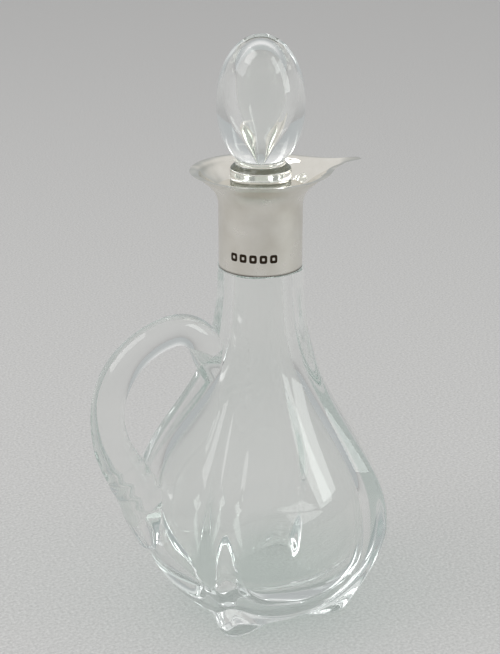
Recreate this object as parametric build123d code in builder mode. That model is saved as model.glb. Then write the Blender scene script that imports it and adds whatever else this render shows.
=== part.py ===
from build123d import *
import os
from math import cos, exp, radians, sin, sqrt

# Driving dimensions in millimetres. Z is up and the bottle stands on Z = 0, centred on its own axis.
# The handle is on -X, the pouring lip on +X, and the four ribs of the glass on the diagonals.
belly_height = 33.0
collar_foot_height = 115.2
crest_belly_radius = 42.3
crest_foot_radius = 28.5
panel_belly_radius = 38.3
panel_foot_radius = 18.0
shoulder_spread = 39.7
rib_spread = 6.0
rib_foot_extra = 3.0
rib_foot_fade = 8.0  # height over which the ribs' extra width at the foot dies away
foot_round = 2.4

collared_neck_length = 23.4
mouth_round = 1.2
belly_wall = 4.2
floor_thickness = 9.5
bore_run = 6.0  # straight bore below the ground seat
plug_top_radius = 8.6
plug_length = 19.0
plug_draw = 1.0  # how much narrower the plug is at its foot
ground_fit = 0.05
seat_wall = 3.0  # from the plug's widest ring to the outside of the neck
bore_step = 0.8
neck_step = 0.9  # how far the panels stand out under the collar
neck_rib_rise = 0.8

sleeve_wall = 0.7
sleeve_length = 18.8
cement_gap = 0.4
foot_gap = 0.3
lip_ring_clearance = 1.0
lip_ring_thickness = 0.6
rim_rise = 6.0
rim_spread = 8.5
beak_length = 12.8
beak_half_width = 2.3

plug_foot_gap = 0.5
flange_gap = 1.4
flange_overhang = 0.6
flange_thickness = 4.8
waist_inset = 1.9
waist_rise = 3.2
egg_radius = 13.2
egg_rise = 17.0
crown_rise = 20.0

rod_radius = 5.1
handle_stand = 18.0  # how far the handle's outside stands out from the belly
handle_rise = 82.2  # height from belly to collar that the handle's line is drawn for

# Sizes and places that follow from those above.
neck_radius = plug_top_radius + seat_wall
panel_neck_radius = neck_radius + neck_step
crest_neck_radius = panel_neck_radius + neck_rib_rise
plug_foot_radius = plug_top_radius - plug_draw
bore_radius = plug_foot_radius - bore_step
mouth_height = collar_foot_height + collared_neck_length
plug_foot_height = mouth_height - plug_length

sleeve_radius = neck_radius + cement_gap + sleeve_wall
collar_flare_height = collar_foot_height + sleeve_length
rim_height = mouth_height + rim_rise
rim_radius = sleeve_radius + rim_spread
beak_reach = rim_radius + beak_length
lip_ring_radius = plug_top_radius + lip_ring_clearance

stopper_flange_radius = plug_top_radius + flange_overhang
stopper_flange_foot = mouth_height + flange_gap
stopper_flange_top = stopper_flange_foot + flange_thickness
stopper_waist_radius = stopper_flange_radius - waist_inset
stopper_waist_height = stopper_flange_top + waist_rise
egg_height = stopper_waist_height + egg_rise
stopper_top = egg_height + crown_rise

handle_reach = panel_belly_radius + handle_stand

sector = radians(45)
quarter_round = 0.5523  # pull of a curve's inner points, as a share of the radius, that makes a quarter round
swell_power = 2.2
crest_foot_power = 1.5
panel_foot_power = 2.3
hollow_power = 2.4
hollow_shoulder = 0.93  # spread of the hollow's shoulder, as a share of the outside's


def bell(height, spread):
    """Share of the belly's swell that is left at a height above the belly."""
    return exp(-((height / spread) ** swell_power))


def crest_radius(z):
    if z >= belly_height:
        swell = bell(z - belly_height, shoulder_spread)
        return crest_neck_radius + (crest_belly_radius - crest_neck_radius) * swell
    drop = ((belly_height - z) / belly_height) ** crest_foot_power
    return crest_belly_radius - (crest_belly_radius - crest_foot_radius) * drop


def panel_radius(z):
    if z >= belly_height:
        swell = bell(z - belly_height, shoulder_spread)
        return panel_neck_radius + (panel_belly_radius - panel_neck_radius) * swell
    drop = ((belly_height - z) / belly_height) ** panel_foot_power
    return panel_belly_radius - (panel_belly_radius - panel_foot_radius) * drop


def foot_inset(z):
    """How far the rounded lower edge draws the outline in at a height."""
    if z >= foot_round:
        return 0.0
    return foot_round - sqrt(foot_round**2 - (foot_round - z) ** 2)


def outline_point(z, turn):
    """A point of the glass at a height, turned from a rib's crest, and its rate of change with the turn."""
    crest = crest_radius(z) - foot_inset(z)
    panel = panel_radius(z) - foot_inset(z)
    spread = (rib_spread + rib_foot_extra * exp(-z / rib_foot_fade)) / crest
    rise = (crest - panel) * exp(-((turn / spread) ** 2))
    radius = panel + rise
    slope = -2 * turn / spread**2 * rise
    point = Vector(radius * cos(turn), radius * sin(turn))
    rate = Vector(slope * cos(turn) - radius * sin(turn), slope * sin(turn) + radius * cos(turn))
    return point, rate, spread


def glass_section(z):
    """The closed outline of the glass at a height: a rounded rib on each diagonal and a bowed panel between."""
    spread = outline_point(z, 0)[2]
    knee = min(1.3 * spread, 0.62 * sector)
    half = []
    for start, end in ((0, knee), (knee, sector)):
        reach = (end - start) / 3
        a, a_rate, _ = outline_point(z, start)
        b, b_rate, _ = outline_point(z, end)
        if end == sector:
            across = Vector(-sin(end), cos(end))
            b_rate = across * b_rate.length
        half.append([a, a + a_rate * reach, b - b_rate * reach, b])
    with BuildSketch(Plane.XY.offset(z)) as section:
        with BuildLine():
            for quarter in range(4):
                crest_turn = 45 + 90 * quarter
                for piece in half:
                    Bezier(*[p.rotate(Axis.Z, crest_turn) for p in piece])
                for piece in half:
                    flipped = [Vector(p.X, -p.Y) for p in piece]
                    Bezier(*[p.rotate(Axis.Z, crest_turn) for p in reversed(flipped)])
        make_face()
    return section.sketch


def station_heights():
    """Heights at which the glass is drawn: close together at the rounded foot, wider up the body."""
    foot = [foot_round * (1 - cos(radians(a))) for a in (0, 40, 90)]
    body = [foot[-1] + (belly_height - foot[-1]) * k / 6 for k in range(1, 7)]
    rise = collar_foot_height - foot_gap - belly_height
    return foot + body + [belly_height + rise * k / 10 for k in range(1, 11)]


with BuildPart() as glass_outside:
    for height in station_heights():
        add(glass_section(height))
    loft()
    with BuildSketch(Plane.XY.offset(collar_foot_height - mouth_round - foot_gap)):
        Circle(neck_radius)
    extrude(amount=mouth_height - collar_foot_height + mouth_round + foot_gap)
    fillet(edges().group_by(Axis.Z)[-1], mouth_round)


def cavity_points():
    """Half outline of the blown hollow, from the middle of its floor up to the straight bore."""
    widest = panel_belly_radius - belly_wall
    depth = belly_height - floor_thickness
    lower = [
        (widest * (1 - (1 - k / 5) ** hollow_power) ** (1 / hollow_power), belly_height - depth * (1 - k / 5))
        for k in range(1, 6)
    ]
    rise = plug_foot_height - bore_run - belly_height
    spread = hollow_shoulder * shoulder_spread
    upper = []
    for k in range(1, 9):
        height = rise * k / 8
        upper.append((bore_radius + (widest - bore_radius) * bell(height, spread), belly_height + height))
    return [(0, floor_thickness)] + lower + upper


with BuildPart() as cavity:
    with BuildSketch(Plane.XZ):
        with BuildLine():
            points = cavity_points()
            wall = Spline(*points, tangents=((1, 0), (0, 1)))
            socket_foot = plug_foot_radius + ground_fit
            socket_top = plug_top_radius + ground_fit
            Polyline(
                wall @ 1,
                (bore_radius, plug_foot_height - 1),
                (socket_foot, plug_foot_height - 1),
                (socket_foot, plug_foot_height),
                (socket_top, mouth_height),
                (0, mouth_height),
                (0, floor_thickness),
            )
        make_face()
    revolve(axis=Axis.Z)

with BuildPart() as bottle:
    add(glass_outside.part)
    add(cavity.part, mode=Mode.SUBTRACT)
bottle.part.label = "bottle"


# The handle is one gather of glass: pressed on low on the body with a tail, drawn up and over, and
# sheared off against the neck. Its middle line is in the XZ plane, with the rod's radius at each point.
def handle_height(height):
    """Height of a point of the handle that is drawn at a height above the belly."""
    return belly_height + height * (collar_foot_height - belly_height) / handle_rise


def on_body(height, stand, extra):
    """A point of the handle where it lies on the glass, stand out from the panel, with extra on its radius."""
    z = handle_height(height)
    return panel_radius(z) + stand, z, rod_radius + extra


def on_loop(height, back, extra):
    """A point of the handle's free loop, back from its furthest reach, with extra on its radius."""
    return handle_reach - rod_radius - back, handle_height(height), rod_radius + extra


handle_line = [
    on_body(-6.2, -1.3, -2.9),
    on_body(-2.0, -0.3, -0.5),
    on_body(5.5, 1.0, 1.2),
    on_body(14.0, 5.8, 1.9),
    on_loop(21.8, 5.4, 1.5),
    on_loop(30.5, 1.6, 0.8),
    on_loop(41.0, 0, 0),
    on_loop(50.6, 2.3, 0),
    on_loop(58.4, 7.8, -0.2),
    on_loop(63.6, 15.9, -0.3),
    on_loop(65.3, 24.6, -0.3),
    on_body(61.6, 5.9, -0.1),
    on_body(54.4, 1.2, -0.1),
    on_body(48.0, -2.55, -1.3),
    on_body(44.6, -5.0, -3.5),
]

with BuildPart() as handle:
    with BuildLine() as handle_path:
        Spline(*[(-reach, 0, height) for reach, height, _ in handle_line])
    path = handle_path.edges()[0]
    for reach, height, radius in handle_line:
        here = path.param_at_point((-reach, 0, height))
        with BuildSketch(Plane(origin=path @ here, x_dir=(0, 1, 0), z_dir=path % here)):
            Circle(radius)
    loft()
    add(glass_outside.part, mode=Mode.SUBTRACT)
handle.part.label = "handle"


# The collar: a silver sleeve over the neck, flared to a dished rim that is pulled out to a narrow lip.
def collar_section(z, radius, reach):
    """Outline of the collar at a height: round, with its front drawn out to a lip when reach is over radius."""
    side = radians(42)
    pull = min((reach - radius) / (beak_reach - rim_radius), 1)
    shoulder = Vector(radius * cos(side), radius * sin(side))
    across = Vector(sin(side), -cos(side))
    tip = radians(16)
    round_tip = Vector(radius * cos(tip), radius * sin(tip))
    drawn_tip = Vector(reach - 4, beak_half_width)
    neck = round_tip * (1 - pull) + drawn_tip * pull
    round_way = Vector(sin(tip), -cos(tip))
    way = (round_way * (1 - pull) + Vector(1, -0.18) * pull).normalized()
    hold = radius * (side - tip) / 3
    tip_hold = radius * tip / 3 * (1 - pull) + 1.6 * pull
    side_curve = [
        shoulder,
        shoulder + across * hold * (1 + 0.5 * pull),
        neck - way * hold * (1 + 0.9 * pull),
        neck,
    ]
    end = Vector(reach, 0)
    tip_curve = [neck, neck + way * tip_hold * (1 + pull), end + Vector(0, tip_hold), end]
    with BuildSketch(Plane.XY.offset(z)) as section:
        with BuildLine():
            ThreePointArc(shoulder, (-radius, 0), Vector(shoulder.X, -shoulder.Y))
            for curve in (side_curve, tip_curve):
                Bezier(*[Vector(p.X, -p.Y) for p in curve])
            for curve in (tip_curve, side_curve):
                Bezier(*reversed(curve))
        make_face()
    return section.sketch


def collar_size(z):
    """Outer radius of the flare at a height, and how far its front reaches."""
    share = (z - collar_flare_height) / (rim_height - collar_flare_height)
    radius = sleeve_radius + (rim_radius - sleeve_radius) * share**2.2
    return radius, radius + (beak_reach - rim_radius) * share**2.6


flare_heights = [collar_flare_height + (rim_height - collar_flare_height) * k / 5 for k in range(6)]

with BuildPart() as flare_outside:
    for height in flare_heights:
        radius, reach = collar_size(height)
        add(collar_section(height, radius, reach))
    loft()

with BuildPart() as flare_inside:
    for height in flare_heights:
        radius, reach = collar_size(height)
        add(collar_section(height, radius - sleeve_wall, reach - sleeve_wall))
    loft()

sleeve_rings = [
    collar_section(collar_flare_height, radius, radius)
    for radius in (sleeve_radius, sleeve_radius - sleeve_wall)
]

with BuildPart() as collar:
    add(flare_outside.part)
    add(flare_inside.part, mode=Mode.SUBTRACT)
    add(sleeve_rings[0] - sleeve_rings[1])
    extrude(amount=collar_foot_height - collar_flare_height)
    with BuildSketch(Plane.XY.offset(mouth_height)):
        Circle(collar_size(mouth_height)[0] - sleeve_wall / 2)
        Circle(lip_ring_radius, mode=Mode.SUBTRACT)
    extrude(amount=lip_ring_thickness)
collar.part.label = "collar"


# The bedding of plaster that holds the collar on the neck fills the space up to the collar's inner ring.
with BuildPart() as collar_cement:
    add(flare_inside.part)
    split(bisect_by=Plane.XY.offset(mouth_height), keep=Keep.BOTTOM)
    add(sleeve_rings[1])
    extrude(amount=collar_foot_height - collar_flare_height)
    with Locations((0, 0, collar_foot_height)):
        Cylinder(
            neck_radius,
            mouth_height - collar_foot_height,
            align=(Align.CENTER, Align.CENTER, Align.MIN),
            mode=Mode.SUBTRACT,
        )
collar_cement.part.label = "collar_cement"


# The stopper: a solid egg of glass on a waist, with a plug ground to the taper of the mouth.
with BuildPart() as stopper:
    with BuildSketch(Plane.XZ):
        with BuildLine():
            plug_foot = plug_foot_height + plug_foot_gap
            taper = (plug_top_radius - plug_foot_radius) / plug_length
            foot_radius = plug_foot_radius + taper * plug_foot_gap
            Polyline(
                (0, plug_foot),
                (foot_radius, plug_foot),
                (plug_top_radius, mouth_height),
                (plug_top_radius, stopper_flange_foot),
                (stopper_flange_radius, stopper_flange_foot),
                (stopper_flange_radius, stopper_flange_top),
            )
            waist = (stopper_waist_radius, stopper_waist_height)
            waist_pull = (stopper_waist_height - stopper_flange_top) / 2
            Bezier(
                (stopper_flange_radius, stopper_flange_top),
                (stopper_flange_radius, stopper_flange_top + waist_pull),
                (stopper_waist_radius, stopper_waist_height - waist_pull),
                waist,
            )
            swell = egg_radius - stopper_waist_radius
            lower = egg_height - stopper_waist_height
            Bezier(
                waist,
                (stopper_waist_radius, stopper_waist_height + 0.05 * lower),
                (stopper_waist_radius + 0.45 * swell, stopper_waist_height + 0.1 * lower),
                (egg_radius, stopper_waist_height + 0.4 * lower),
                (egg_radius, egg_height),
            )
            crown = stopper_top - egg_height
            Bezier(
                (egg_radius, egg_height),
                (egg_radius, egg_height + quarter_round * crown),
                (quarter_round * egg_radius, stopper_top),
                (0, stopper_top),
            )
            Line((0, stopper_top), (0, plug_foot))
        make_face()
    revolve(axis=Axis.Z)
    fillet(edges().group_by(Axis.Z)[0], 0.8)
stopper.part.label = "stopper"


os.makedirs("parts", exist_ok=True)
export_step(bottle.part, "parts/bottle.step")
export_step(handle.part, "parts/handle.step")
export_step(collar.part, "parts/collar.step")
export_step(collar_cement.part, "parts/collar_cement.step")
export_step(stopper.part, "parts/stopper.step")

millilitres = cavity.part.volume / 1000
print("hollow of", round(millilitres), "ml, counting the neck down to where the plug sits")
for name in (bottle, handle, collar, collar_cement, stopper):
    box = name.part.bounding_box()
    print(name.part.label, len(name.part.solids()), round(name.part.volume), box.min, box.max)
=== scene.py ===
from math import atan, cos, exp, pi, radians, sin, sqrt

import bmesh
import bpy
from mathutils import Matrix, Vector
from mathutils.geometry import interpolate_bezier


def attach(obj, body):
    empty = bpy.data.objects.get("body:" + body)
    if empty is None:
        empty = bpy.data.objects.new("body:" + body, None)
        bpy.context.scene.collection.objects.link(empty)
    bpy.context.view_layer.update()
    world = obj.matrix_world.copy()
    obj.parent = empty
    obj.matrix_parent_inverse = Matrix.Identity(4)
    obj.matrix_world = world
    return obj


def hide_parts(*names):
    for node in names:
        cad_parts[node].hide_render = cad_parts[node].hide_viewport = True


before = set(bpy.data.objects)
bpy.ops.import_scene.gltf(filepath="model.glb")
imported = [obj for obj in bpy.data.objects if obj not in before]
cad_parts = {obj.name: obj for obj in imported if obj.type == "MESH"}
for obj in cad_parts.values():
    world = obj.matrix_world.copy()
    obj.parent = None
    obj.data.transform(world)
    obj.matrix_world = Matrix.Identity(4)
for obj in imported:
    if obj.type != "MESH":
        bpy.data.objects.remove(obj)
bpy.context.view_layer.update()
mm = 0.001  # sizes below are in millimetres unless a note says otherwise

# small helpers


def linear(hexColour):
    # an sRGB hex colour as the linear one that shaders take
    parts = [int(hexColour[i:i + 2], 16) / 255 for i in (1, 3, 5)]
    return [c / 12.92 if c <= 0.04045 else ((c + 0.055) / 1.055) ** 2.4 for c in parts] + [1.0]


def addNode(tree, kind, settings=None, links=None):
    # one node, its settings, and what goes into its sockets by name or place
    node = tree.nodes.new(kind)
    for name, value in (settings or {}).items():
        setattr(node, name, value)
    for key, value in (links or {}).items():
        if isinstance(value, bpy.types.NodeSocket):
            tree.links.new(value, node.inputs[key])
        else:
            node.inputs[key].default_value = value
    return node


def newMaterial(name):
    material = bpy.data.materials.new(name)
    material.use_nodes = True
    material.node_tree.nodes.clear()
    return material, material.node_tree


def newPiece(name, mesh):
    piece = bpy.data.objects.new(name, mesh)
    bpy.context.scene.collection.objects.link(piece)
    return piece


def workOut(tree, known, rows):
    # each row makes one named value from others with a Math node
    for name, operation, *values in rows:
        links = {k: known[v] if isinstance(v, str) else v for k, v in enumerate(values)}
        known[name] = addNode(tree, "ShaderNodeMath", {"operation": operation}, links).outputs[0]


def chainMesh(name, points, attributes):
    # points joined in a row, with one number at each point for every attribute
    mesh = bpy.data.meshes.new(name)
    mesh.from_pydata(points, [(k, k + 1) for k in range(len(points) - 1)], [])
    for label, values in attributes.items():
        layer = mesh.attributes.new(label, "FLOAT", "POINT")
        for item, value in zip(layer.data, values):
            item.value = value
    return mesh


def grow(piece, tree, values):
    # runs a node tree on a piece and keeps the result as a plain mesh
    modifier = piece.modifiers.new(tree.name, "NODES")
    modifier.node_group = tree
    sockets = {item.name: item.identifier for item in tree.interface.items_tree if item.in_out == "INPUT"}
    for label, value in values.items():
        modifier[sockets[label]] = value
    keepResult(piece)


def keepResult(piece):
    graph = bpy.context.evaluated_depsgraph_get()
    mesh = bpy.data.meshes.new_from_object(piece.evaluated_get(graph))
    piece.modifiers.clear()
    piece.data = mesh


def combine(piece, other, operation):
    modifier = piece.modifiers.new(operation.lower(), "BOOLEAN")
    modifier.operation = operation
    modifier.solver = "MANIFOLD"
    modifier.object = other
    keepResult(piece)
    bpy.data.objects.remove(other)


def steps(count, low=0.0, high=1.0):
    return [low + (high - low) * k / count for k in range(count + 1)]


# the camera stands where the ellipses of rim and foot put it
cameraPlace = {
    "turn": -26.0,  # degrees round the axis from the front
    "distance": 440.0,
    "height": 262.0,
    "lookHeight": 90.0,
    "lensPixels": 1524.0,
    "lookPixel": (261.0, 341.1),  # where that height of the axis shows
    "picture": (500, 654),
    "filmHeight": 36.0,
}


def makeCamera():
    place = cameraPlace
    wide, high = place["picture"]
    data = bpy.data.cameras.new("camera")
    camera = newPiece("camera", data)
    data.sensor_width = place["filmHeight"]
    data.lens = place["filmHeight"] * place["lensPixels"] / high
    data.clip_start = 10 * mm
    turn = radians(place["turn"])
    away = place["distance"]
    camera.location = Vector((away * sin(turn), -away * cos(turn), place["height"])) * mm
    tilt = atan((place["height"] - place["lookHeight"]) / away)
    tilt -= atan((place["lookPixel"][1] - high / 2) / place["lensPixels"])
    aside = atan((place["lookPixel"][0] - wide / 2) / place["lensPixels"])
    camera.rotation_euler = (pi / 2 - tilt, 0, turn + aside)
    bpy.context.scene.camera = camera


makeCamera()
print("camera placed")

# materials

glassLook = {
    "tint": "#fdfefd",
    "shadowTint": "#f6f9f8",
    "bouncesFollowed": 4.5,
    "ior": 1.5,
    "waveSize": 26.0,  # slow waves left by blowing
    "waveDepth": 0.05,
    "waveStrength": 0.25,
    "scuffSize": 0.8,  # fine rubbing on what touches the table
    "scuffRoughness": 0.22,
    "scuffHeight": 1.6,
    "groundRoughness": 0.32,  # the plug is ground, not polished
    "groundTop": 139.0,
    "groundFade": 0.6,
}


def sodaGlass(name, groundPlug):
    # clear soda glass, blown and fire-polished: bright edges, bent views and a faint waver
    look = glassLook
    material, tree = newMaterial(name)
    place = addNode(tree, "ShaderNodeTexCoord").outputs["Object"]
    height = addNode(tree, "ShaderNodeSeparateXYZ", {}, {0: place}).outputs["Z"]
    scale = 1 / (look["waveSize"] * mm)
    waves = addNode(tree, "ShaderNodeTexNoise", {}, {"Vector": place, "Scale": scale, "Detail": 1.0})
    waver = addNode(tree, "ShaderNodeBump", {}, {
        "Height": waves.outputs["Fac"],
        "Strength": look["waveStrength"],
        "Distance": look["waveDepth"] * mm,
    })
    scuffs = addNode(tree, "ShaderNodeTexNoise", {}, {
        "Vector": place,
        "Scale": 1 / (look["scuffSize"] * mm),
        "Detail": 4.0,
    })
    if groundPlug:
        matt = addNode(tree, "ShaderNodeMapRange", {}, {
            "Value": height,
            "From Min": look["groundTop"] * mm,
            "From Max": (look["groundTop"] - look["groundFade"]) * mm,
            "To Max": look["groundRoughness"],
        })
    else:
        matt = addNode(tree, "ShaderNodeMapRange", {}, {
            "Value": height,
            "From Min": look["scuffHeight"] * mm,
            "From Max": 0.0,
            "To Max": look["scuffRoughness"],
        })
    rough = addNode(tree, "ShaderNodeMath", {"operation": "MULTIPLY"}, {
        0: matt.outputs[0],
        1: scuffs.outputs["Fac"],
    })
    shader = addNode(tree, "ShaderNodeBsdfPrincipled", {}, {
        "Base Color": linear(look["tint"]),
        "Roughness": rough.outputs[0],
        "IOR": look["ior"],
        "Transmission Weight": 1.0,
        "Normal": waver.outputs[0],
    })
    # clear glass throws next to no shadow, so light on its way to the paper goes straight through
    # real glass doesn't, but a ray that has met five surfaces also goes straight on, or it would end as black
    rays = addNode(tree, "ShaderNodeLightPath").outputs
    known = {name: rays[name] for name in ("Is Shadow Ray", "Is Diffuse Ray", "Ray Depth")}
    workOut(tree, known, [
        ("lost", "GREATER_THAN", "Ray Depth", look["bouncesFollowed"]),
        ("lit", "MAXIMUM", "Is Shadow Ray", "Is Diffuse Ray"),
        ("passing", "MAXIMUM", "lit", "lost"),
    ])
    through = addNode(tree, "ShaderNodeBsdfTransparent", {}, {"Color": linear(look["shadowTint"])})
    both = addNode(tree, "ShaderNodeMixShader", {}, {
        0: known["passing"],
        1: shader.outputs[0],
        2: through.outputs[0],
    })
    addNode(tree, "ShaderNodeOutputMaterial", {}, {"Surface": both.outputs[0]})
    return material


silverLook = {
    "bright": "#f4f2ec",
    "dull": "#d8d3c8",
    "tarnishAndMarkShade": "#3a3128",
    "satinRoughness": 0.26,
    "mirrorRoughness": 0.03,
    "waveSize": 7.0,  # the dish was beaten and burnished, so its mirror waves
    "waveDepth": 0.5,
    "scratchLength": 0.9,
    "scratchWidth": 0.12,
    "scratchStrength": 0.15,
    "scratchDepth": 0.03,
    "cloudSize": 7.0,
    "cloudRoughness": 0.04,
    "dishTilt": (0.1, 0.35),  # how far a face looks up before it belongs to the dish
    "footHeight": 115.2,
    "tarnishRise": 0.7,
    "sleeve": 12.7,
    "markSize": (1.15, 1.3),  # half width and half height
    "markHeight": 120.7,
    "firstMark": -154.0,  # degrees round the axis
    "markStep": 14.0,
    "marks": 5,
    "beadReach": 0.015,
}


def markShade(tree, place):
    # five plain punch marks in a row: a dark square with a plain bead left bright in its middle; the dark is
    # tarnish together with painted shade of a sunk punch, as the mesh stays flat there
    look = silverLook
    across, along = look["markSize"]
    where = addNode(tree, "ShaderNodeSeparateXYZ", {}, {0: place}).outputs
    known = {name: where[name] for name in "XYZ"}
    step = radians(look["markStep"])
    workOut(tree, known, [
        ("turn", "ARCTAN2", "Y", "X"),
        ("past", "SUBTRACT", "turn", radians(look["firstMark"])),
        ("count", "DIVIDE", "past", step),
        ("near", "ROUND", "count"),
        ("low", "MAXIMUM", "near", 0),
        ("own", "MINIMUM", "low", look["marks"] - 1),
        ("off", "SUBTRACT", "count", "own"),
        ("side", "MULTIPLY", "off", step * look["sleeve"] / across),
        ("sideFour", "POWER", "side", 4),
        ("rise", "SUBTRACT", "Z", look["markHeight"] * mm),
        ("up", "DIVIDE", "rise", along * mm),
        ("upFour", "POWER", "up", 4),
        ("reach", "ADD", "sideFour", "upFour"),
        ("ground", "LESS_THAN", "reach", 1),
        ("bead", "GREATER_THAN", "reach", look["beadReach"]),
        ("mark", "MULTIPLY", "ground", "bead"),
    ])
    return known["mark"]


def oldSilver(name):
    # old silver, rubbed by hand: satin outside, bright in the dish, dark in its foot line
    look = silverLook
    material, tree = newMaterial(name)
    place = addNode(tree, "ShaderNodeTexCoord").outputs["Object"]
    height = addNode(tree, "ShaderNodeSeparateXYZ", {}, {0: place}).outputs["Z"]
    clouds = addNode(tree, "ShaderNodeTexNoise", {}, {
        "Vector": place,
        "Scale": 1 / (look["cloudSize"] * mm),
        "Detail": 3.0,
    })
    narrow = addNode(tree, "ShaderNodeMapping", {}, {
        "Vector": place,
        "Scale": (1, 1, look["scratchLength"] / look["scratchWidth"]),
    })
    scratches = addNode(tree, "ShaderNodeTexNoise", {}, {
        "Vector": narrow.outputs[0],
        "Scale": 1 / (look["scratchLength"] * mm),
        "Detail": 6.0,
    })
    dulled = addNode(tree, "ShaderNodeMix", {"data_type": "RGBA"}, {
        0: clouds.outputs["Fac"],
        6: linear(look["bright"]),
        7: linear(look["dull"]),
    })
    line = addNode(tree, "ShaderNodeMapRange", {}, {
        "Value": height,
        "From Min": (look["footHeight"] + look["tarnishRise"]) * mm,
        "From Max": look["footHeight"] * mm,
    })
    dishFrom, dishTo = look["dishTilt"]
    mark = markShade(tree, place)
    # each mark's dark square is tarnish together with painted shade of a punch that isn't sunk in the mesh
    dark = addNode(tree, "ShaderNodeMath", {"operation": "MAXIMUM"}, {0: line.outputs[0], 1: mark})
    colour = addNode(tree, "ShaderNodeMix", {"data_type": "RGBA"}, {
        0: dark.outputs[0],
        6: dulled.outputs[2],
        7: linear(look["tarnishAndMarkShade"]),
    })
    facing = addNode(tree, "ShaderNodeSeparateXYZ", {}, {
        0: addNode(tree, "ShaderNodeNewGeometry").outputs["Normal"],
    })
    upward = addNode(tree, "ShaderNodeMapRange", {}, {
        "Value": facing.outputs["Z"],
        "From Min": dishFrom,
        "From Max": dishTo,
        "To Min": look["satinRoughness"],
        "To Max": look["mirrorRoughness"],
    })
    uneven = addNode(tree, "ShaderNodeMath", {"operation": "MULTIPLY_ADD"}, {
        0: clouds.outputs["Fac"],
        1: look["cloudRoughness"],
        2: upward.outputs[0],
    })
    rubbed = addNode(tree, "ShaderNodeBump", {}, {
        "Height": scratches.outputs["Fac"],
        "Strength": look["scratchStrength"],
        "Distance": look["scratchDepth"] * mm,
    })
    beaten = addNode(tree, "ShaderNodeTexNoise", {}, {
        "Vector": place,
        "Scale": 1 / (look["waveSize"] * mm),
        "Detail": 1.0,
    })
    inDish = addNode(tree, "ShaderNodeMapRange", {}, {
        "Value": facing.outputs["Z"],
        "From Min": dishFrom,
        "From Max": dishTo,
    })
    waves = addNode(tree, "ShaderNodeBump", {}, {
        "Height": beaten.outputs["Fac"],
        "Strength": inDish.outputs[0],
        "Distance": look["waveDepth"] * mm,
        "Normal": rubbed.outputs[0],
    })
    shader = addNode(tree, "ShaderNodeBsdfPrincipled", {}, {
        "Base Color": colour.outputs[2],
        "Metallic": 1.0,
        "Roughness": uneven.outputs[0],
        "Normal": waves.outputs[0],
    })
    addNode(tree, "ShaderNodeOutputMaterial", {}, {"Surface": shader.outputs[0]})
    return material


plasterLook = {
    "pale": "#ddd8cb",
    "stained": "#b8ae98",
    "roughness": 0.9,
    "grain": 0.5,
    "grainStrength": 0.3,
    "grainDepth": 0.1,
}


def bedPlaster(name):
    # plaster of Paris that beds the collar: chalky and a little stained
    look = plasterLook
    material, tree = newMaterial(name)
    place = addNode(tree, "ShaderNodeTexCoord").outputs["Object"]
    grain = addNode(tree, "ShaderNodeTexNoise", {}, {
        "Vector": place,
        "Scale": 1 / (look["grain"] * mm),
        "Detail": 5.0,
    })
    colour = addNode(tree, "ShaderNodeMix", {"data_type": "RGBA"}, {
        0: grain.outputs["Fac"],
        6: linear(look["pale"]),
        7: linear(look["stained"]),
    })
    chalky = addNode(tree, "ShaderNodeBump", {}, {
        "Height": grain.outputs["Fac"],
        "Strength": look["grainStrength"],
        "Distance": look["grainDepth"] * mm,
    })
    shader = addNode(tree, "ShaderNodeBsdfPrincipled", {}, {
        "Base Color": colour.outputs[2],
        "Roughness": look["roughness"],
        "Normal": chalky.outputs[0],
    })
    addNode(tree, "ShaderNodeOutputMaterial", {}, {"Surface": shader.outputs[0]})
    return material


clearGlass = sodaGlass("blown soda glass", False)
plugGlass = sodaGlass("polished glass with a ground plug", True)
silver = oldSilver("hand-rubbed old silver")
plaster = bedPlaster("plaster of Paris")
print("materials made")

# node trees: one turns an outline into a skin with ribs, one draws a rod along a line


def treeWith(name, inputs):
    tree = bpy.data.node_groups.new(name, "GeometryNodeTree")
    for label, kind in inputs:
        tree.interface.new_socket(name=label, in_out="INPUT", socket_type="NodeSocket" + kind)
    tree.interface.new_socket(name="Mesh", in_out="OUTPUT", socket_type="NodeSocketGeometry")
    return tree, addNode(tree, "NodeGroupInput").outputs


def finishTree(tree, geometry, material):
    # smooth, real geometry with its material
    smooth = addNode(tree, "GeometryNodeSetShadeSmooth", {}, {"Geometry": geometry})
    real = addNode(tree, "GeometryNodeRealizeInstances", {}, {"Geometry": smooth.outputs[0]})
    dressed = addNode(tree, "GeometryNodeSetMaterial", {}, {
        "Geometry": real.outputs[0],
        "Material": material,
    })
    addNode(tree, "NodeGroupOutput", {}, {0: dressed.outputs[0]})


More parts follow.
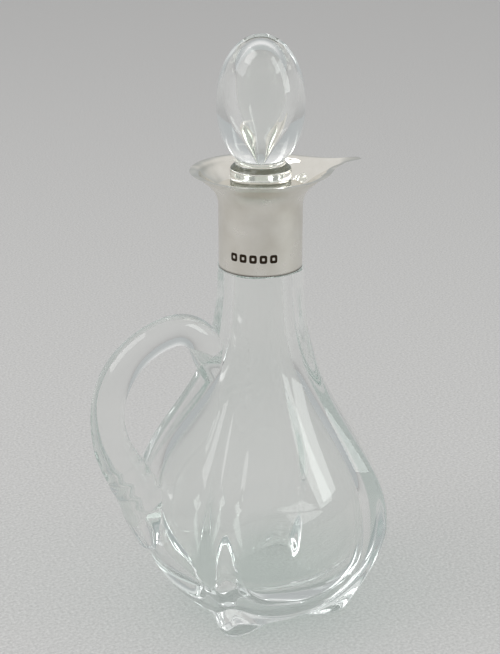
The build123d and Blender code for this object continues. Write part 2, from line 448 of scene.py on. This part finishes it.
def ribbedSkinTree():
    # the outline is turned round the axis, and each rib lifts it by the outline's ribRise where the rib is
    tree, given = treeWith("ribbed skin", [
        ("Outline", "Geometry"), ("Sides", "Int"), ("Ribs", "Int"), ("Rib Spread", "Float"),
        ("Rib Foot Extra", "Float"), ("Foot Fade", "Float"), ("Material", "Material"),
    ])
    size = addNode(tree, "GeometryNodeAttributeDomainSize", {"component": "MESH"}, {0: given["Outline"]})
    known = {"sides": given["Sides"], "ribs": given["Ribs"], "points": size.outputs["Point Count"]}
    workOut(tree, known, [
        ("columns", "ADD", "sides", 1),
        ("last", "SUBTRACT", "points", 1),
        ("half", "MULTIPLY", "last", 0.5),
    ])
    grid = addNode(tree, "GeometryNodeMeshGrid", {}, {
        "Size X": 2 * pi,
        "Size Y": known["last"],
        "Vertices X": known["columns"],
        "Vertices Y": known["points"],
    })
    place = addNode(tree, "GeometryNodeInputPosition").outputs[0]
    where = addNode(tree, "ShaderNodeSeparateXYZ", {}, {0: place})
    known["turn"] = where.outputs["X"]
    known["up"] = where.outputs["Y"]
    workOut(tree, known, [("along", "ADD", "up", "half"), ("row", "ROUND", "along")])
    outline = addNode(tree, "GeometryNodeSampleIndex", {"data_type": "FLOAT_VECTOR"}, {
        "Geometry": given["Outline"],
        "Value": place,
        "Index": known["row"],
    })
    ribRise = addNode(tree, "GeometryNodeInputNamedAttribute", {"data_type": "FLOAT"}, {0: "ribRise"})
    lift = addNode(tree, "GeometryNodeSampleIndex", {"data_type": "FLOAT"}, {
        "Geometry": given["Outline"],
        "Value": ribRise.outputs[0],
        "Index": known["row"],
    })
    drawn = addNode(tree, "ShaderNodeSeparateXYZ", {}, {0: outline.outputs[0]})
    known.update(radius=drawn.outputs["X"], height=drawn.outputs["Z"], rise=lift.outputs[0])
    known.update(spread=given["Rib Spread"], extra=given["Rib Foot Extra"], fade=given["Foot Fade"])
    workOut(tree, known, [
        ("share", "DIVIDE", "height", "fade"),
        ("down", "MULTIPLY", "share", -1),
        ("wider", "EXPONENT", "down"),
        ("width", "MULTIPLY_ADD", "wider", "extra", "spread"),
        ("crest", "ADD", "radius", "rise"),
        ("crestSafe", "MAXIMUM", "crest", 1e-4),
        ("angle", "DIVIDE", "width", "crestSafe"),
        ("halfGap", "DIVIDE", pi, "ribs"),
        ("lowGap", "MULTIPLY", "halfGap", -1),
        ("moved", "SUBTRACT", "turn", "halfGap"),
        ("off", "WRAP", "moved", "halfGap", "lowGap"),
        ("ratio", "DIVIDE", "off", "angle"),
        ("square", "MULTIPLY", "ratio", "ratio"),
        ("fall", "MULTIPLY", "square", -1),
        ("shape", "EXPONENT", "fall"),
        ("out", "MULTIPLY_ADD", "rise", "shape", "radius"),
        ("cosine", "COSINE", "turn"),
        ("sine", "SINE", "turn"),
        ("x", "MULTIPLY", "out", "cosine"),
        ("y", "MULTIPLY", "out", "sine"),
    ])
    target = addNode(tree, "ShaderNodeCombineXYZ", {}, {
        "X": known["x"],
        "Y": known["y"],
        "Z": known["height"],
    })
    skin = addNode(tree, "GeometryNodeSetPosition", {}, {
        "Geometry": grid.outputs[0],
        "Position": target.outputs[0],
    })
    closed = addNode(tree, "GeometryNodeMergeByDistance", {}, {
        "Geometry": skin.outputs[0],
        "Distance": 1e-6,
    })
    finishTree(tree, closed.outputs[0], given["Material"])
    return tree


def rodTree():
    # a smooth rod along a chain of points, with a radius at each and tool marks pressed in near its start
    tree, given = treeWith("pulled rod", [
        ("Line", "Geometry"), ("Steps", "Int"), ("Sides", "Int"), ("Crimp Pitch", "Float"),
        ("Crimp Depth", "Float"), ("Crimp Middle", "Float"), ("Crimp Reach", "Float"),
        ("Material", "Material"),
    ])
    curve = addNode(tree, "GeometryNodeMeshToCurve", {}, {"Mesh": given["Line"]})
    smooth = {"spline_type": "CATMULL_ROM"}
    spline = addNode(tree, "GeometryNodeCurveSplineType", smooth, {0: curve.outputs[0]})
    even = addNode(tree, "GeometryNodeResampleCurve", {}, {
        "Curve": spline.outputs[0],
        "Count": given["Steps"],
    })
    thick = addNode(tree, "GeometryNodeInputNamedAttribute", {"data_type": "FLOAT"}, {0: "rodRadius"})
    along = addNode(tree, "GeometryNodeSplineParameter").outputs["Length"]
    known = {"length": along, "thick": thick.outputs[0]}
    known.update(pitch=given["Crimp Pitch"], depth=given["Crimp Depth"])
    known.update(middle=given["Crimp Middle"], reach=given["Crimp Reach"])
    workOut(tree, known, [
        ("turns", "DIVIDE", "length", "pitch"),
        ("angle", "MULTIPLY", "turns", 2 * pi),
        ("wave", "SINE", "angle"),
        ("off", "SUBTRACT", "length", "middle"),
        ("share", "DIVIDE", "off", "reach"),
        ("square", "MULTIPLY", "share", "share"),
        ("fall", "MULTIPLY", "square", -1),
        ("window", "EXPONENT", "fall"),
        ("press", "MULTIPLY", "wave", "window"),
        ("size", "MULTIPLY_ADD", "press", "depth", "thick"),
    ])
    ring = addNode(tree, "GeometryNodeCurvePrimitiveCircle", {}, {
        "Resolution": given["Sides"],
        "Radius": 1.0,
    })
    rod = addNode(tree, "GeometryNodeCurveToMesh", {}, {
        "Curve": even.outputs[0],
        "Profile Curve": ring.outputs[0],
        "Scale": known["size"],
        "Fill Caps": True,
    })
    finishTree(tree, rod.outputs[0], given["Material"])
    return tree


ribbedSkin = ribbedSkinTree()
pulledRod = rodTree()


def outlineMesh(name, points, rises=None):
    # points are (radius, height) from one pole to the other
    placed = [(r * mm, 0, z * mm) for r, z in points]
    return chainMesh(name, placed, {"ribRise": [rise * mm for rise in rises or [0] * len(points)]})


def faceOut(piece, smoothAngle):
    # normals out, and a crease only where the glass really has one
    shell = bmesh.new()
    shell.from_mesh(piece.data)
    bmesh.ops.recalc_face_normals(shell, faces=shell.faces)
    shell.to_mesh(piece.data)
    shell.free()
    piece.data.set_sharp_from_angle(angle=radians(smoothAngle))


# the bottle: a pear blown to one rule, with a rib on each diagonal that ends in a corner of the foot
bottleSizes = {
    "sides": 224,
    "bellyHeight": 33.0,
    "crestBelly": 42.3,
    "crestNeck": 13.3,
    "crestFoot": 28.5,
    "panelBelly": 38.27,
    "panelNeck": 12.5,
    "panelFoot": 18.0,
    "shoulder": 39.7,
    "ribs": 4,
    "ribSpread": 4.8,
    "ribFootExtra": 4.2,
    "footFade": 8.0,
    "footRound": 2.4,
    "collarFoot": 114.9,
    "neck": 11.6,
    "mouth": 138.6,
    "mouthRound": 1.2,
    "seatTop": 8.65,
    "seatFoot": 7.65,
    "seatFootHeight": 119.6,
    "bore": 6.8,
    "wall": 4.2,
    "floor": 9.5,
    "hollowShoulder": 36.9,
    "shoulderPower": 2.2,
    "panelFootPower": 2.3,
    "crestFootPower": 1.5,
    "hollowPower": 2.4,
    "underRings": (0.5, 0.85, 0.96),  # shares of the foot
    "crowding": 1.15,  # brings the rings closer together low down
    "bodySteps": 120,
    "hollowSteps": 90,
    "floorSteps": 30,
    "footSteps": 8,
    "mouthSteps": 6,
    "creaseAngle": 48.0,
}


def swell(height, spread):
    # share of the belly that is left at a height above it
    return exp(-((height / spread) ** bottleSizes["shoulderPower"]))


def glassRadius(z, which):
    s = bottleSizes
    belly, neck, foot, footPower = (s[which + part] for part in ("Belly", "Neck", "Foot", "FootPower"))
    if z >= s["bellyHeight"]:
        return neck + (belly - neck) * swell(z - s["bellyHeight"], s["shoulder"])
    return belly - (belly - foot) * (1 - z / s["bellyHeight"]) ** footPower


def bottleOutline():
    # up the outside, over the mouth, down the seat and the hollow to the middle of its floor
    s = bottleSizes
    curl, belly, floor = s["footRound"], s["bellyHeight"], s["floor"]
    points = [(0, 0)]
    rises = [0]
    foot = [curl * (1 - cos(a)) for a in steps(s["footSteps"], 0, radians(85))]
    body = [curl + (s["collarFoot"] - curl) * t ** s["crowding"] for t in steps(s["bodySteps"])]
    for share in s["underRings"]:
        points.append((glassRadius(0, "panel") * share - curl, 0))
        rises.append((glassRadius(0, "crest") - glassRadius(0, "panel")) * share)
    for z in foot + body:
        below = max(curl - z, 0)
        inset = curl - sqrt(curl**2 - below**2)
        panel = glassRadius(z, "panel")
        points.append((panel - inset, z))
        rises.append(glassRadius(z, "crest") - panel)
    ring = [(s["neck"], s["collarFoot"])]
    soft = s["mouthRound"]
    for a in steps(s["mouthSteps"], 0, pi / 2):
        ring.append((s["neck"] - soft * (1 - cos(a)), s["mouth"] - soft * (1 - sin(a))))
    top = s["seatFootHeight"] - 1
    ring += [(s["seatTop"], s["mouth"]), (s["seatFoot"], s["seatFootHeight"]), (s["bore"], top)]
    widest = s["panelBelly"] - s["wall"]
    for t in steps(s["hollowSteps"])[1:]:
        z = top + (belly - top) * t
        ring.append((s["bore"] + (widest - s["bore"]) * swell(z - belly, s["hollowShoulder"]), z))
    power = 2 / s["hollowPower"]
    for a in steps(s["floorSteps"], 0, pi / 2)[1:-1]:
        ring.append((widest * cos(a) ** power, belly - (belly - floor) * sin(a) ** power))
    ring.append((0, floor))
    return points + ring, rises + [0] * len(ring)


def makeBottle():
    s = bottleSizes
    points, rises = bottleOutline()
    piece = newPiece("bottleGlass", outlineMesh("bottleGlass", points, rises))
    grow(piece, ribbedSkin, {
        "Sides": s["sides"],
        "Ribs": s["ribs"],
        "Rib Spread": s["ribSpread"] * mm,
        "Rib Foot Extra": s["ribFootExtra"] * mm,
        "Foot Fade": s["footFade"] * mm,
        "Material": clearGlass,
    })
    faceOut(piece, s["creaseAngle"])
    return piece


# the handle: a gather pressed on low down, pulled up and over, and sheared off against the neck
handleSizes = {
    "line": [  # (reach from the axis, height, rod radius)
        (36.0, 27.6, 2.4),
        (37.6, 31.0, 5.0),
        (39.2, 38.5, 6.7),
        (41.8, 47.0, 7.0),
        (45.8, 54.8, 6.5),
        (49.6, 63.5, 5.8),
        (51.0, 74.0, 5.1),
        (48.9, 83.6, 5.1),
        (43.4, 91.4, 4.9),
        (35.3, 96.6, 4.8),
        (26.6, 98.2, 4.8),
        (20.3, 94.6, 5.0),
        (17.2, 87.4, 5.0),
        (15.6, 81.0, 3.8),
        (14.9, 78.2, 1.6),
    ],
    "steps": 260,
    "sides": 56,
    "crimpPitch": 6.2,
    "crimpDepth": 0.1,
    "crimpMiddle": 22.0,
    "crimpReach": 7.0,
    "creaseAngle": 60.0,
}


def makeHandle():
    s = handleSizes
    points = [(-reach * mm, 0, z * mm) for reach, z, _ in s["line"]]
    chain = chainMesh("handleGlass", points, {"rodRadius": [r * mm for _, _, r in s["line"]]})
    piece = newPiece("handleGlass", chain)
    grow(piece, pulledRod, {
        "Steps": s["steps"],
        "Sides": s["sides"],
        "Crimp Pitch": s["crimpPitch"] * mm,
        "Crimp Depth": s["crimpDepth"] * mm,
        "Crimp Middle": s["crimpMiddle"] * mm,
        "Crimp Reach": s["crimpReach"] * mm,
        "Material": clearGlass,
    })
    faceOut(piece, s["creaseAngle"])
    return piece


bottle = makeBottle()
handle = makeHandle()
combine(bottle, handle, "UNION")
bottle.data.set_sharp_from_angle(angle=radians(bottleSizes["creaseAngle"]))
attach(bottle, "bottle")
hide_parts("bottle", "handle")
print("bottle and handle fused:", len(bottle.data.polygons), "faces")

# the stopper: egg, waist, flange and ground plug
stopperSizes = {
    "sides": 128,
    "plugFoot": 120.1,
    "plugFootRadius": 7.63,
    "plugFootFlare": 0.03,
    "plugTop": 138.6,
    "plugTopRadius": 8.6,
    "edge": 0.6,
    "flange": 9.2,
    "flangeFoot": 140.0,
    "flangeTop": 144.8,
    "waist": 7.3,
    "waistHeight": 148.0,
    "egg": 13.2,
    "eggHeight": 165.0,
    "top": 185.0,
    "round": 0.5523,  # handle length that makes a Bezier quarter round
    "flangeRound": (0.1, 0.2),
    "eggHolds": ((0, 0.05), (0.45, 0.1), (1, 0.4)),  # shares of the egg's spread and rise above the waist
    "creaseAngle": 40.0,
    "tearFoot": 146.2,  # the hollow that was blown into the egg, drawn to a point at the waist
    "tearRadius": 7.6,
    "tearHeight": 170.0,
    "tearTop": 181.6,
    "tearHolds": ((0.1, 0.35), (1, 0.45)),  # shares of the tear's radius and of its lower height
    "edgeSteps": 5,
    "waistSteps": 16,
    "eggSteps": 28,
    "crownSteps": 30,
    "tearSteps": (30, 24),
}


def bend(start, pull, hold, end, count):
    # a Bezier bow without its first point
    holds = [Vector((r, z, 0)) for r, z in (start, pull, hold, end)]
    return [(p.x, p.y) for p in interpolate_bezier(*holds, count + 1)][1:]


def stopperOutline():
    # up the plug, round the flange and waist, and over the egg
    s = stopperSizes
    foot, edge, plug = s["plugFoot"], s["edge"], s["plugFootRadius"]
    points = [(0, foot), (plug - edge, foot)]
    flared = (plug + s["plugFootFlare"], foot + edge)
    points += bend(points[-1], (plug - edge / 2, foot), (plug, foot + edge / 2), flared, s["edgeSteps"])
    points += [(s["plugTopRadius"], s["plugTop"]), (s["plugTopRadius"], s["flangeFoot"])]
    flange, low = s["flange"], s["flangeFoot"]
    across, up = s["flangeRound"]
    pull, hold = (flange - across, low), (flange, low + up)
    points += bend(points[-1], pull, hold, (flange, low + edge), s["edgeSteps"])
    waist = (s["waist"], s["waistHeight"])
    top = s["flangeTop"]
    pull = (waist[1] - top) / 2
    points.append((flange, top))
    points += bend(points[-1], (flange, top + pull), (waist[0], waist[1] - pull), waist, s["waistSteps"])
    # the lower egg is a curve of five control points, taken as a sum of its terms
    widest = (s["egg"], s["eggHeight"])
    wide, rise = widest[0] - waist[0], widest[1] - waist[1]
    holds = [waist] + [(waist[0] + a * wide, waist[1] + b * rise) for a, b in s["eggHolds"]] + [widest]
    for t in steps(s["eggSteps"])[1:]:
        weights = [n * t**k * (1 - t) ** (4 - k) for k, n in enumerate((1, 4, 6, 4, 1))]
        points.append(tuple(sum(w * p[axis] for w, p in zip(weights, holds)) for axis in (0, 1)))
    return points + crown(widest, s["top"], s["crownSteps"])


def crown(widest, top, count):
    # a quarter round from the widest ring to the pole above it
    r, z = widest
    share = stopperSizes["round"]
    return bend(widest, (r, z + share * (top - z)), (share * r, top), (0, top), count)


def tearOutline():
    s = stopperSizes
    foot, widest = (0, s["tearFoot"]), (s["tearRadius"], s["tearHeight"])
    low = widest[1] - foot[1]
    pull, hold = [(a * widest[0], foot[1] + b * low) for a, b in s["tearHolds"]]
    lowSteps, highSteps = s["tearSteps"]
    points = [foot] + bend(foot, pull, hold, widest, lowSteps)
    return points + crown(widest, s["tearTop"], highSteps)


def turnPiece(name, outline):
    s = stopperSizes
    piece = newPiece(name, outlineMesh(name, outline))
    grow(piece, ribbedSkin, {
        "Sides": s["sides"],
        "Ribs": 1,
        "Rib Spread": mm,
        "Foot Fade": mm,
        "Material": plugGlass,
    })
    faceOut(piece, s["creaseAngle"])
    return piece


def makeStopper():
    piece = turnPiece("stopperGlass", stopperOutline())
    combine(piece, turnPiece("tear", tearOutline()), "DIFFERENCE")
    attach(piece, "stopper")
    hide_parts("stopper")


makeStopper()
print("stopper turned")

for node, material in (("collar", silver), ("collar_cement", plaster)):
    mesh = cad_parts[node].data
    mesh.materials.clear()
    mesh.materials.append(material)

# the stage: one broad sheet of rough grey paper
stageLook = {
    "size": 6.0,  # metres
    "pale": "#d2d1d0",
    "dark": "#aeadac",
    "roughness": 0.95,
    "shine": 0.2,
    "grain": 1.0,
    "grainRange": (0.3, 0.7),
    "grainStrength": 0.35,
    "grainDepth": 0.3,
}


def makeStage():
    look = stageLook
    material, tree = newMaterial("rough grey paper")
    place = addNode(tree, "ShaderNodeTexCoord").outputs["Object"]
    grain = addNode(tree, "ShaderNodeTexNoise", {}, {
        "Vector": place,
        "Scale": 1 / (look["grain"] * mm),
        "Detail": 6.0,
        "Roughness": 0.7,
    })
    low, high = look["grainRange"]
    spread = addNode(tree, "ShaderNodeMapRange", {}, {
        "Value": grain.outputs["Fac"],
        "From Min": low,
        "From Max": high,
    })
    colour = addNode(tree, "ShaderNodeMix", {"data_type": "RGBA"}, {
        0: spread.outputs[0],
        6: linear(look["dark"]),
        7: linear(look["pale"]),
    })
    rough = addNode(tree, "ShaderNodeBump", {}, {
        "Height": grain.outputs["Fac"],
        "Strength": look["grainStrength"],
        "Distance": look["grainDepth"] * mm,
    })
    shader = addNode(tree, "ShaderNodeBsdfPrincipled", {}, {
        "Base Color": colour.outputs[2],
        "Roughness": look["roughness"],
        "Specular IOR Level": look["shine"],
        "Normal": rough.outputs[0],
    })
    addNode(tree, "ShaderNodeOutputMaterial", {}, {"Surface": shader.outputs[0]})
    half = look["size"] / 2
    mesh = bpy.data.meshes.new("paper")
    corners = [(-half, -half, 0), (half, -half, 0), (half, half, 0), (-half, half, 0)]
    mesh.from_pydata(corners, [], [(0, 1, 2, 3)])
    mesh.materials.append(material)
    newPiece("paper", mesh)


makeStage()

# soft light, in metres: a bright ceiling over a dimmer room, a broad lamp high on the left, a small one right
lightLook = {
    "ceiling": "#ffffff",
    "room": "#c3c7c8",
    "worldStrength": 0.8,
    "ceilingRange": (0.1, 0.75),  # how steeply a ray rises where the room turns into ceiling
    "lamps": {
        "window": {"place": (-0.75, 0.1, 0.95), "size": (0.7, 0.9), "power": 5.0, "colour": "#ffffff"},
        "side": {"place": (0.6, -0.55, 0.5), "size": (0.3, 0.6), "power": 2.0, "colour": "#f4faf6"},
    },
    "aim": (0, 0, 0.08),
}


def makeLight():
    look = lightLook
    world = bpy.data.worlds.new("room")
    bpy.context.scene.world = world
    world.use_nodes = True
    tree = world.node_tree
    tree.nodes.clear()
    way = addNode(tree, "ShaderNodeTexCoord").outputs["Generated"]
    height = addNode(tree, "ShaderNodeSeparateXYZ", {}, {0: way}).outputs["Z"]
    low, high = look["ceilingRange"]
    share = addNode(tree, "ShaderNodeMapRange", {"interpolation_type": "SMOOTHSTEP"}, {
        "Value": height,
        "From Min": low,
        "From Max": high,
    })
    colour = addNode(tree, "ShaderNodeMix", {"data_type": "RGBA"}, {
        0: share.outputs[0],
        6: linear(look["room"]),
        7: linear(look["ceiling"]),
    })
    back = addNode(tree, "ShaderNodeBackground", {}, {
        "Color": colour.outputs[2],
        "Strength": look["worldStrength"],
    })
    addNode(tree, "ShaderNodeOutputWorld", {}, {"Surface": back.outputs[0]})
    for name, lamp in look["lamps"].items():
        data = bpy.data.lights.new(name, "AREA")
        data.shape = "RECTANGLE"
        data.size, data.size_y = lamp["size"]
        data.energy = lamp["power"]
        data.color = linear(lamp["colour"])[:3]
        light = newPiece(name, data)
        light.location = lamp["place"]
        light.rotation_euler = (Vector(look["aim"]) - light.location).to_track_quat("-Z", "Y").to_euler()
    bpy.context.scene.view_settings.view_transform = "Standard"


makeLight()
print("stage and light set")
